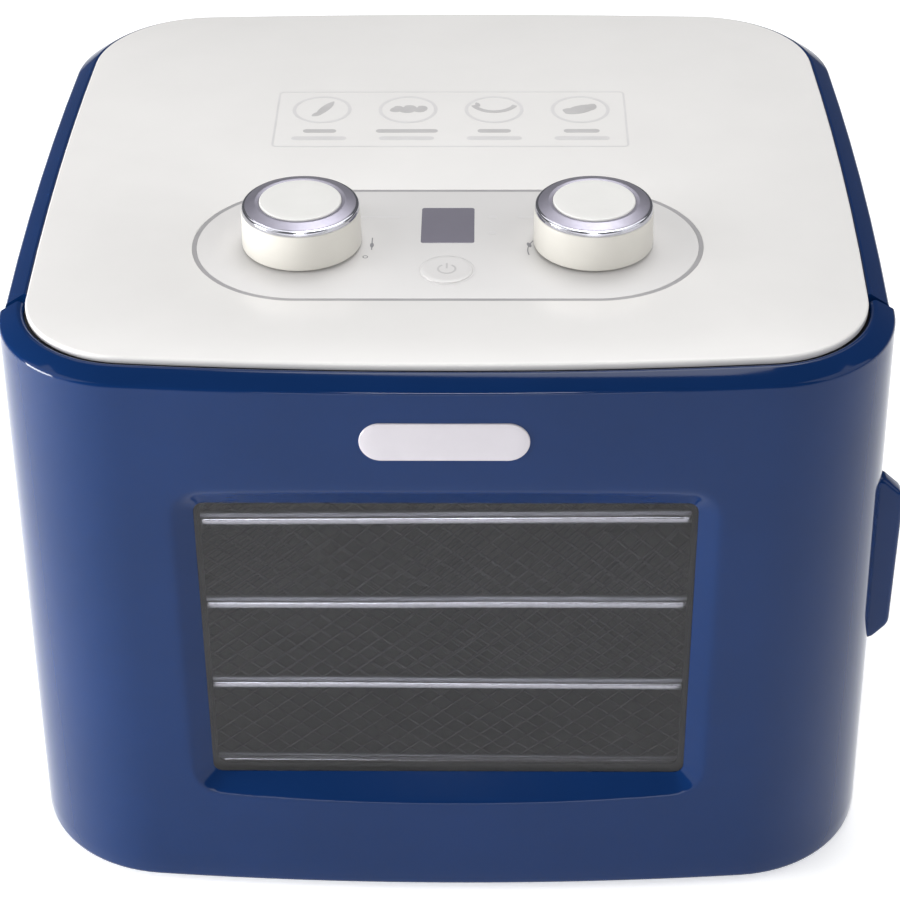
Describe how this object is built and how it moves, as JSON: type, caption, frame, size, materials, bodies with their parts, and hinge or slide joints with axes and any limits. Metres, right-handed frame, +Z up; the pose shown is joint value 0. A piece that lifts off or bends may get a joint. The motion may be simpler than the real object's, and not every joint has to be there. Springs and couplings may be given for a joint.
{
  "type": "food dehydrator",
  "caption": "Box-shaped electric food dehydrator with rounded corners, a wrap-round hinged door with a dark window, slide-out mesh trays and two knobs on a flat top.",
  "frame": {"origin": "on the floor under the middle of the cabinet's footprint", "axes": "+X to the right seen from the door, +Y to the back, +Z up"},
  "size_m": [0.3518, 0.3234, 0.2671],
  "materials": {
    "blue_gloss": "high gloss moulded",
    "white_gloss": "satin gloss moulded",
    "cream_plastic": "satin moulded",
    "cap_plastic": "satin moulded",
    "grey_trim": "fine matte",
    "charcoal_plastic": "fine moulded texture",
    "badge_enamel": "gloss",
    "smoked_glass": "smoked, polished",
    "display_glass": "tinted gloss",
    "chrome": "polished",
    "tray_steel": "bright wire",
    "sheet_steel": "brushed",
    "dark_steel": "matte black coating",
    "circuit_board": "solder mask",
    "electronic_parts": "moulded",
    "brass": "machined",
    "rubber": "matte",
    "magnet": "nickel"
  },
  "bodies": {
    "cabinet": {"base_pan": "charcoal_plastic", "cabinet_shell": "blue_gloss", "chamber_liner": "dark_steel", "control_board": "circuit_board", "control_panel": "white_gloss", "display_lens": "display_glass", "display_module": "electronic_parts", "encoder_nuts": "brass", "encoders": "sheet_steel", "fan_motor": "sheet_steel", "front_frame": "charcoal_plastic", "heater_coil": "dark_steel", "heater_frame": "sheet_steel", "hinge_brackets": "charcoal_plastic", "hinge_pins": "sheet_steel", "housing_screws": "sheet_steel", "left_tray_rails": "dark_steel", "motor_bracket": "sheet_steel", "panel_trim": "grey_trim", "power_board": "circuit_board", "power_board_parts": "electronic_parts", "power_inlet": "charcoal_plastic", "power_switch": "electronic_parts", "rear_baffle": "dark_steel", "rear_vent_cover": "charcoal_plastic", "right_tray_rails": "dark_steel", "rubber_feet": "rubber", "strike_plates": "sheet_steel", "temperature_probe": "sheet_steel", "thermal_cutout": "sheet_steel", "top_plate": "white_gloss"},
    "door": {"door_shell": "blue_gloss", "door_inner_panel": "charcoal_plastic", "window_glass": "smoked_glass", "window_gasket": "rubber", "door_badge": "badge_enamel", "door_handle": "blue_gloss", "door_magnets": "magnet", "door_panel_screws": "sheet_steel"},
    "fan": {"fan_impeller": "charcoal_plastic", "motor_shaft": "sheet_steel"},
    "power_button": {"power_button": "cream_plastic"},
    "left_knob": {"left_knob_body": "cream_plastic", "left_knob_ring": "chrome", "left_knob_cap": "cap_plastic", "left_encoder_shaft": "sheet_steel"},
    "right_knob": {"right_knob_body": "cream_plastic", "right_knob_ring": "chrome", "right_knob_cap": "cap_plastic", "right_encoder_shaft": "sheet_steel"},
    "tray_1": {"tray_frame_1": "tray_steel", "tray_mesh_1": "dark_steel"},
    "tray_2": {"tray_frame_2": "tray_steel", "tray_mesh_2": "dark_steel"},
    "tray_3": {"tray_frame_3": "tray_steel", "tray_mesh_3": "dark_steel"},
    "tray_4": {"tray_frame_4": "tray_steel", "tray_mesh_4": "dark_steel"}
  },
  "joints": [
    {"name": "door_hinge", "type": "hinge", "parent": "cabinet", "child": "door", "pos_m": [-0.165, -0.1086, 0.12], "axis": [0, 0, -1], "range_deg": [0, 110]},
    {"name": "tray_slide_1", "type": "slide", "parent": "cabinet", "child": "tray_1", "axis": [0, -1, 0], "range_m": [0, 0.1076]},
    {"name": "tray_slide_2", "type": "slide", "parent": "cabinet", "child": "tray_2", "axis": [0, -1, 0], "range_m": [0, 0.1076]},
    {"name": "tray_slide_3", "type": "slide", "parent": "cabinet", "child": "tray_3", "axis": [0, -1, 0], "range_m": [0, 0.1076]},
    {"name": "tray_slide_4", "type": "slide", "parent": "cabinet", "child": "tray_4", "axis": [0, -1, 0], "range_m": [0, 0.1076]},
    {"name": "left_knob_turn", "type": "hinge", "parent": "cabinet", "child": "left_knob", "pos_m": [-0.0563, -0.0609, 0.2479], "axis": [0, 0, 1], "continuous": true},
    {"name": "right_knob_turn", "type": "hinge", "parent": "cabinet", "child": "right_knob", "pos_m": [0.0563, -0.0609, 0.2479], "axis": [0, 0, 1], "continuous": true},
    {"name": "power_button_press", "type": "slide", "parent": "cabinet", "child": "power_button", "axis": [0, 0, -1], "range_m": [0, 0.0008], "stiffness_N_per_m": 600},
    {"name": "fan_spin", "type": "hinge", "parent": "cabinet", "child": "fan", "pos_m": [0, 0.12, 0.118], "axis": [0, 1, 0], "continuous": true}
  ],
  "couplings": [
    {"joint": "tray_slide_1", "follows": "door_hinge", "m_per_rad": 0.056},
    {"joint": "tray_slide_2", "follows": "door_hinge", "m_per_rad": 0.056},
    {"joint": "tray_slide_3", "follows": "door_hinge", "m_per_rad": 0.056},
    {"joint": "tray_slide_4", "follows": "door_hinge", "m_per_rad": 0.056}
  ]
}
